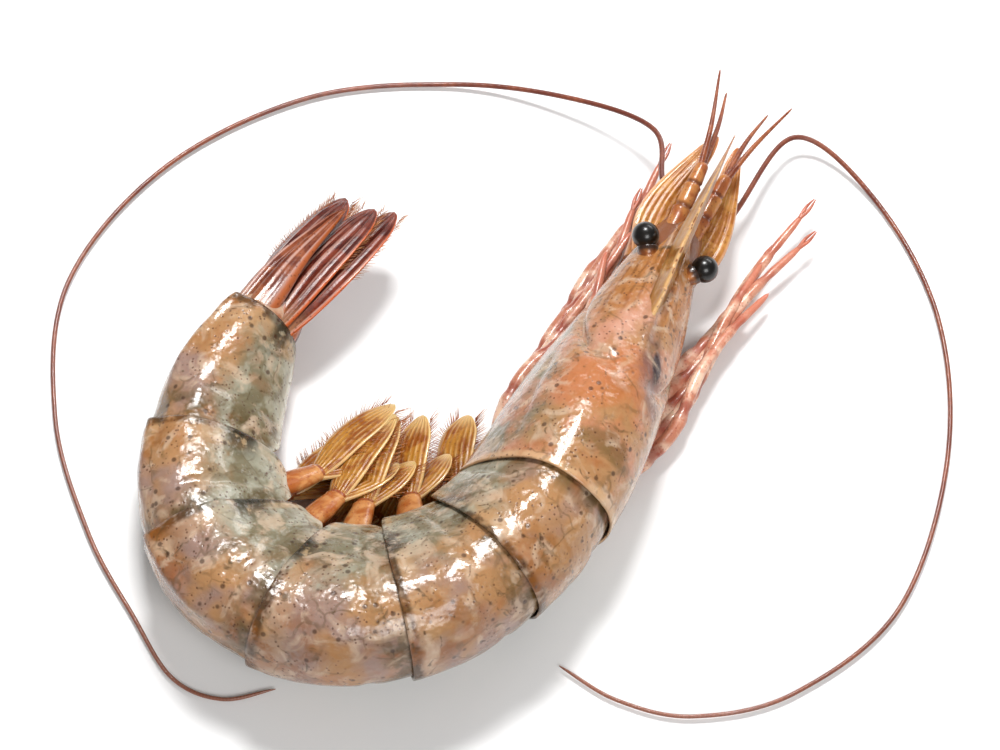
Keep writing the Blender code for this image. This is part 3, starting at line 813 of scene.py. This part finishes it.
for side, word in ((1, "left"), (-1, "right")):
    blade = at_head(side, (-0.001, 0.0030, -0.0006), (-0.009, 0.0035, 0.0000), (-0.0200, 0.0014, 0.0016))
    fitted(sheet(f"antennal_scale_{word}", 71, 40, scale_ribs(blade)), scale_finish)
    stalk = at_head(side, (-0.003, 0.0012, 0.0012), (-0.010, 0.0015, 0.0022), (-0.0150, 0.0017, 0.0028))
    obj = limb(f"upper_stalk_{word}", stalk, (0.0012, 0.0011, 0.0008), (0.0012, 0.0010, 0.0007),
               swell=jointed(*stalk_joints), count=50)
    fitted(obj, front_finish)
    for which, knots in (
        ("upper", ((-0.014, 0.0018, 0.0029), (-0.020, 0.0030, 0.0034), (-0.028, 0.0052, 0.0030))),
        ("lower", ((-0.014, 0.0016, 0.0023), (-0.021, 0.0020, 0.0016), (-0.027, 0.0030, 0.0004))),
    ):
        obj = limb(f"short_whip_{which}_{word}", at_head(side, *knots), WHIP_RADII, WHIP_RADII,
                   swell=ringed, count=110, sides=10)
        fitted(obj, whip_finish)
    stalk = at_head(side, (-0.001, 0.0032, -0.0030), (-0.007, 0.0042, -0.0030), (-0.0115, 0.0048, -0.0028))
    obj = limb(f"lower_stalk_{word}", stalk, (0.0016, 0.0014, 0.0009), (0.0016, 0.0013, 0.0009),
               swell=jointed(*stalk_joints), count=50, sides=18)
    fitted(obj, front_finish)
    foot = at_head(side, (0.006, 0.0026, -0.0072), (-0.004, 0.0034, -0.0066), (-0.015, 0.0030, -0.0042))
    obj = limb(f"jaw_foot_{word}", foot, (0.0012, 0.0012, 0.0007, 0.0003), (0.0012, 0.0010, 0.0006, 0.0003),
               swell=jointed(*jaw_joints), count=70)
    fitted(obj, jaw_finish)

# The long feelers: two springy whips, thin as wire and about as long as the body, each from the end of
# its lower stalk. Fine rings all along them, red brown, paling towards the tip. They lie where they fell.
FEELER_RADII = (0.00036, 0.00024)
STALK_END, FEELER_GAP = -0.0128, 0.0004
LEFT_ROUTE = (
    (-0.0005, 0.0225, 0.0060),
    (-0.0110, 0.0290, 0.0030),
    (-0.0260, 0.0325, 0.0008),
    (-0.0450, 0.0305, 0),
    (-0.0630, 0.0200, 0),
    (-0.0745, 0.0030, 0),
    (-0.0750, -0.0160, 0),
    (-0.0700, -0.0320, 0),
    (-0.0640, -0.0430, 0),
    (-0.0590, -0.0510, 0),
    (-0.0530, -0.0538, 0),
    (-0.0465, -0.0525, 0),
)
RIGHT_ROUTE = (
    (0.0180, 0.0230, 0.0030),
    (0.0280, 0.0150, 0.0008),
    (0.0350, -0.0020, 0),
    (0.0350, -0.0220, 0),
    (0.0280, -0.0420, 0),
    (0.0150, -0.0530, 0),
    (0.0030, -0.0560, 0),
    (-0.0060, -0.0540, 0),
    (-0.0130, -0.0495, 0),
)


def feeler_finish():
    wet = Finish("long feelers", roughness=0.35, coat=0.4, under=0.2, depth=0.0006)
    wet.colour = wet.mix(wet.patches(0.0040, 0.35, 0.65), rgb(138, 75, 50), rgb(106, 49, 35))
    wet.lay((145, 93, 72), wet.step(wet.along, 0.35, 1.0))
    rings = wet.add("TexWave", {"Vector": wet.cover, "Scale": 60.0},
                    wave_type="BANDS", bands_direction="Y", wave_profile="SIN").outputs["Fac"]
    wet.lay((92, 44, 35), rings, 0.25)
    return wet.done(wet.bump(rings, 0.00004, 0.6))


long_finish = feeler_finish()
for side, word, route in ((1, "left", LEFT_ROUTE), (-1, "right", RIGHT_ROUTE)):
    start = on_body(STALK_END - FEELER_GAP, side * 0.0050, -0.0028)
    lying = FEELER_RADII[0] + LIMB_FLOOR
    points = [start] + [ORBITS + Vector((x, y, max(z, lying))) for x, y, z in route]
    obj = limb(f"long_feeler_{word}", points, FEELER_RADII, FEELER_RADII, count=420, sides=10)
    fitted(obj, long_finish, f"feeler_{word}")

# The walking legs: five pairs of thin jointed legs under the chest, folded forward along both sides of
# the carapace, the first three of each side ending in small pincers. Clear pink white shell, salmon
# towards the joints.
LEG_WIDTHS = (0.0012, 0.0011, 0.0009, 0.0007, 0.0004)
LEG_THICKNESSES = (0.0011, 0.0010, 0.0008, 0.0006, 0.0003)
PAIRS, FIRST_LEG, LEG_SPACING = 5, 0.0080, 0.0040
CLAWED_PAIRS, PINCER_SIZE = 3, 0.0011
leg_joints = (0.16, 0.42, 0.60, 0.84)
leg_finish = limb_finish("walking legs", (224, 188, 164), (190, 124, 98), (142, 54, 38), leg_joints,
                         tip=(192, 116, 92))
pincer_finish = limb_finish("pincers", (192, 116, 92), (168, 92, 70), (120, 50, 38), ())


def pincer(name, path_end, way, size):
    """The two small fingers at the end of a clawed leg."""
    across = way.cross(UP).normalized()
    for hand in (1, -1):
        points = [path_end - way * 0.8 * size, path_end + way * 0.8 * size + across * hand * 0.24 * size,
                  path_end + way * 2.4 * size + across * hand * 0.08 * size]
        radii = (0.26 * size, 0.20 * size, 0.06 * size)
        obj = limb(f"{name}_finger_{'a' if hand > 0 else 'b'}", points, radii, radii, count=16, sides=8)
        fitted(obj, pincer_finish)


for pair in range(PAIRS):
    root = FIRST_LEG + LEG_SPACING * pair
    splay = (0.0004, -0.0003, 0.0006, 0.0, 0.0008)[pair]
    left = [on_body(*knot) for knot in (
        (root + 0.0010, 0.0024, -0.0068),
        (root + 0.0020, 0.0054, -0.0098),
        (root - 0.0060, 0.0066 + splay, -0.0096 + 0.0004 * pair),
        (root - 0.0160, 0.0060 - splay, -0.0080 + 0.0006 * pair + splay),
        (root - 0.0255, 0.0052 + 2 * splay, -0.0056 + 0.0003 * pair - splay),
    )]
    splay = (0.0030, 0.0046, 0.0010, 0.0034, 0.0018)[pair]
    right = [on_floor(*knot) for knot in (
        (root + 0.0010, -0.0020, 0.0060),
        (root + 0.0020, 0.0050, 0.0030),
        (root - 0.0060, 0.0084 + 0.0002 * pair, 0.0022 + 0.0002 * pair),
        (root - 0.0160, 0.0088 + 0.3 * splay, 0.0026 + 0.0004 * pair),
        (root - 0.0260, 0.0090 + splay, 0.0036 - 0.0003 * pair),
    )]
    for word, points in (("left", left), ("right", right)):
        name = f"leg_{pair + 1}_{word}"
        obj = limb(name, points, LEG_WIDTHS, LEG_THICKNESSES, swell=jointed(*leg_joints), count=90)
        fitted(obj, leg_finish)
        if pair < CLAWED_PAIRS:
            pincer(name, points[-1], (points[-1] - points[-2]).normalized(), PINCER_SIZE)

# The swimmerets: five pairs of paddles under the tail, each a flat stem with a long and a short leaf
# that are fringed with fine hair. Soft amber shell, pinker at the stems, hanging loose towards the head.
SWIMMERETS = ((0.85, 62), (1.10, 38), (1.20, 14), (1.25, -16), (1.25, -42))  # size, swing towards the head
LEAF_THICKNESSES = (0.0006, 0.0004, 0.0003, 0.0002)
PATH_STEPS = 60
HAIR_ROOT, HAIR_FLOOR = 0.0002, 0.0003  # how deep hairs start in their leaf, the least height they lie at
paddle_finish = limb_finish("swimmeret leaves", (172, 116, 40), (138, 74, 18), (92, 36, 12), (),
                            tip=(204, 168, 108), rim=(222, 186, 128))
stem_joints = (0.15, 0.92)
stem_finish = limb_finish("swimmeret stems", (190, 132, 78), (158, 86, 34), (127, 51, 30), stem_joints)
hair_finish = limb_finish("fringe hair", (170, 99, 45), (141, 70, 31), (101, 44, 22), ())
chance = random.Random(7)


def fringe(name, edge, face, length, radius):
    """Fine hairs along an edge, as (root, way out) pairs. Those that would dip into the floor lie on it."""
    bm = bmesh.new()
    bm.loops.layers.uv.new("cover")
    for root, way in edge:
        way = way + face * chance.uniform(-0.14, 0.14) + way.cross(face) * chance.uniform(-0.18, 0.18)
        way.normalize()
        start, end = root - way * HAIR_ROOT, root + way * (length * chance.uniform(0.75, 1.1) - HAIR_ROOT)
        start.z, end.z = max(start.z, HAIR_FLOOR), max(end.z, HAIR_FLOOR)
        turn = (end - start).to_track_quat("Z", "Y").to_matrix().to_4x4()
        bmesh.ops.create_cone(bm, cap_ends=True, segments=4, radius1=radius, radius2=radius * 0.25,
                              depth=(end - start).length, calc_uvs=True,
                              matrix=Matrix.Translation((start + end) / 2) @ turn)
    fitted(as_object(name, bm), hair_finish)


def leaf_edge(points, widths, face, count, first, last):
    """Roots of hairs along both edges of a leaf, with the way each points: outward and on towards the tip."""
    path = smooth_path(points, PATH_STEPS)
    found = []
    for n in range(count):
        share = first + (last - first) * n / (count - 1)
        i = min(int(share * (PATH_STEPS - 1)), PATH_STEPS - 2)
        way = (path[i + 1] - path[i]).normalized()
        side = way.cross(face).normalized()
        width = between([(k, value) for k, value in enumerate(widths)], share * (len(widths) - 1))
        lean = 0.5 + 1.6 * ease(0.6, 1.0, share)
        for hand in (1, -1):
            found.append((path[i] + side * hand * width * 0.9, (side * hand + way * lean).normalized()))
    return found


for number in range(1, 6):
    middle = (STARTS[number] + STARTS[number + 1]) / 2
    belly = line_at(middle, SECTION).z
    size, swing = SWIMMERETS[number - 1]
    for side, word in ((1, "left"), (-1, "right")):
        forward, inward = -tailward_at(middle), -line_at(middle, OUTWARD)
        angle = math.radians(swing + (0 if side > 0 else 8))
        hang = inward * math.cos(angle) + forward * math.sin(angle)
        across = UP.cross(hang)
        root = on_body(middle, side * 0.0034, -0.72 * belly)
        knee = on_body(middle - 0.0008, side * 0.0036, -belly) + hang * 0.0042 * size - UP * 0.0006
        face = (UP + hang * 0.2 + across * 0.5).normalized()
        obj = limb(f"swimmeret_stem_{number}_{word}", [root, root.lerp(knee, 0.5), knee],
                   (0.0017, 0.0019, 0.0013), (0.0012, 0.0011, 0.0008), flat=face, swell=jointed(*stem_joints),
                   count=40, sides=16)
        fitted(obj, stem_finish)
        for which, middle_knot, end_knot, widths, hairs in (
            ("long", (0.0045, 0.0008), (0.0100, 0.0), (0.0012, 0.0024, 0.0025, 0.0014), 34),
            ("short", (0.0026, -0.0022), (0.0056, -0.0040), (0.0010, 0.0020, 0.0012), 20),
        ):
            leaf = [knee - hang * 0.001]
            leaf += [knee + hang * on * size + across * aside for on, aside in (middle_knot, end_knot)]
            name = f"swimmeret_{which}_leaf_{number}_{word}"
            obj = limb(name, leaf, widths, LEAF_THICKNESSES, flat=face, count=50, sides=20, tip=0.25)
            fitted(obj, paddle_finish)
            edge = leaf_edge(leaf, widths, face, hairs, first=0.30, last=0.98)
            fringe(f"{name}_hair", edge, face, length=0.0020, radius=0.00006)

# The tail fan: a pointed, grooved telson over two pairs of broad ribbed leaves that fold together
# behind the last plate. Hard shell, dark red brown between pale ribs that carry a painted highlight, with an
# orange rim and a hair fringe.
FAN_ROOT, FAN_TIP = STARTS[-2:]
FAN_WIDTHS = (0.0016, 0.0029, 0.0035, 0.0032, 0.0020)
fan_back = line_at(FAN_TIP, TO_BACK)


def fan_finish(name, middle_colour, dark, rim):
    wet = Finish(name, roughness=0.27, coat=0.4, under=0.25, depth=0.0008)
    across, ridges = leaf_ridges(wet, 15.0)
    wet.colour = wet.mix(wet.patches(0.0026, 0.35, 0.65, twist=0.6), rgb(*middle_colour), rgb(*dark))
    # Pale lines along the ribs: the ribs' own paler shell, with a painted highlight along their crests.
    streaks = wet.times(wet.step(ridges, 0.35, 0.95), wet.step(wet.along, 0.97, 0.60))
    wet.lay((200, 160, 146), streaks, 0.62)
    wet.lay((162, 124, 88), wet.step(wet.along, 0.30, 0.04), 0.6)
    edge = wet.step(wet.apart(across, 0.0), 0.90, 0.985)
    wet.lay(rim, edge, 0.85)
    wet.lay((68, 25, 19), wet.specks(0.0006, 0.30), 0.5)
    fine = wet.bump(wet.cloud(0.0004), 0.00005, 0.6)
    return wet.done(wet.bump(ridges, 0.00010, 0.7, over=fine))


def ribbed(points, widths, thicknesses, ribs):
    """A leaf with ribs, each given as its place across the leaf, its width and its height."""
    leaf = limb_maker(points, widths, thicknesses, flat=fan_back, count=80, tip=0.16)

    def place(along, around):
        across, rise = math.cos(2 * math.pi * around), math.sin(2 * math.pi * around)
        height = sum(tall * bulge(across, where, wide) for where, wide, tall in ribs)
        fade = ease(0, 0.12, along) * ease(1.0, 0.86, along)
        return leaf(along, around) + fan_back * height * fade * (1 if rise > 0 else -0.4)

    return place


leaf_colours = fan_finish("tail fan leaves", (122, 52, 34), (75, 23, 16), (194, 87, 22))
telson_colours = fan_finish("telson shell", (145, 80, 50), (101, 46, 30), (178, 93, 42))
telson_line = [
    on_body(FAN_ROOT - 0.002, 0, 0.0022),
    on_body(FAN_ROOT + 0.008, 0, 0.0022),
    on_body(FAN_TIP - 0.001, 0, 0.0012),
]
telson_ribs = ((-0.35, 0.12, 0.00035), (0.35, 0.12, 0.00035), (0.0, 0.14, -0.00045))
place = ribbed(telson_line, (0.0032, 0.0030, 0.0018, 0.0003), (0.0024, 0.0018, 0.0010, 0.0003), telson_ribs)
fitted(sheet("telson", 81, 48, place), telson_colours)
core = [on_body(FAN_ROOT - 0.002, 0, 0.0), on_body(FAN_ROOT + 0.006, 0, 0.0004)]
obj = limb("fan_root", core, (0.0034, 0.0032, 0.0012), (0.0028, 0.0022, 0.0005), flat=fan_back,
           count=30, sides=24)
fitted(obj, telson_colours)
for side, word in ((1, "left"), (-1, "right")):
    knuckle = [
        on_body(FAN_ROOT - 0.002, side * 0.0020, -0.0020),
        on_body(FAN_ROOT + 0.0042, side * 0.0030, -0.0014),
    ]
    obj = limb(f"fan_knuckle_{word}", knuckle, (0.0019, 0.0018, 0.0010), (0.0022, 0.0019, 0.0007),
               flat=fan_back, count=40, sides=24)
    fitted(obj, telson_colours)
    for which, spread, long, back in (("inner", 0.0027, 0.0008, 0.0002), ("outer", 0.0047, 0.0020, -0.0010)):
        line = [
            on_body(FAN_ROOT - 0.0010, side * 0.0022, back - 0.0005),
            on_body(FAN_ROOT + 0.0095, side * spread * 0.85, back),
            on_body(FAN_TIP + long, side * spread, back - 0.0002),
        ]
        ribs = ((0.0, 0.10, 0.00030), (0.62 * side, 0.08, 0.00022), (-0.45 * side, 0.07, 0.00014))
        place = ribbed(line, FAN_WIDTHS, (0.0009, 0.0007, 0.0006, 0.0004, 0.0002), ribs)
        name = f"tail_leaf_{which}_{word}"
        fitted(sheet(name, 81, 56, place), leaf_colours)
        edge = leaf_edge(line, FAN_WIDTHS, fan_back, 70, first=0.55, last=0.99)
        fringe(f"{name}_hair", edge, fan_back, length=0.0017, radius=0.00005)

# The studio: a white floor under a pale sky, and three large soft lights, the brightest from above and
# behind. The camera looks down on the prawn's left side from the bend of its back, and the tones are
# shown as they are.
CAMERA_DISTANCE = 0.410
floor = bmesh.new()
bmesh.ops.create_grid(floor, x_segments=1, y_segments=1, size=3)
floor_mesh = bpy.data.meshes.new("floor")
floor.to_mesh(floor_mesh)
floor.free()
floor_obj = bpy.data.objects.new("floor", floor_mesh)
bpy.context.scene.collection.objects.link(floor_obj)
paper = bpy.data.materials.new("white paper")
paper.use_nodes = True
surface = paper.node_tree.nodes["Principled BSDF"]
surface.inputs["Base Color"].default_value = rgb(240, 240, 240)
surface.inputs["Roughness"].default_value = 0.6
floor_mesh.materials.append(paper)

world = bpy.data.worlds.new("studio")
world.use_nodes = True
sky = world.node_tree.nodes["Background"]
sky.inputs["Color"].default_value = (1.0, 1.0, 1.0, 1.0)
sky.inputs["Strength"].default_value = 0.25
bpy.context.scene.world = world
bpy.context.scene.view_settings.view_transform = "Standard"


def soft_light(name, place, size, power):
    light = bpy.data.lights.new(name, "AREA")
    light.shape = "RECTANGLE"
    light.size, light.size_y = size
    light.energy = power
    obj = bpy.data.objects.new(name, light)
    obj.location = place
    obj.rotation_euler = (Vector((0, 0, 0)) - Vector(place)).to_track_quat("-Z", "Y").to_euler()
    bpy.context.scene.collection.objects.link(obj)


soft_light("key", (0.00, 0.20, 0.42), (0.12, 0.09), 2.2)
soft_light("fill", (0.10, -0.30, 0.36), (0.22, 0.18), 1.15)
soft_light("rim", (0.24, 0.40, 0.24), (0.30, 0.08), 0.7)

camera_data = bpy.data.cameras.new("camera")
camera_data.lens = 120
camera_data.sensor_width = 36
camera = bpy.data.objects.new("camera", camera_data)
bpy.context.scene.collection.objects.link(camera)
bpy.context.scene.camera = camera
ELEVATION = math.radians(62)
look = Vector((0, math.cos(ELEVATION), -math.sin(ELEVATION)))
target = Vector((0.000, -0.001, 0.005))
camera.location = target - look * CAMERA_DISTANCE
camera.rotation_euler = look.to_track_quat("-Z", "Y").to_euler()
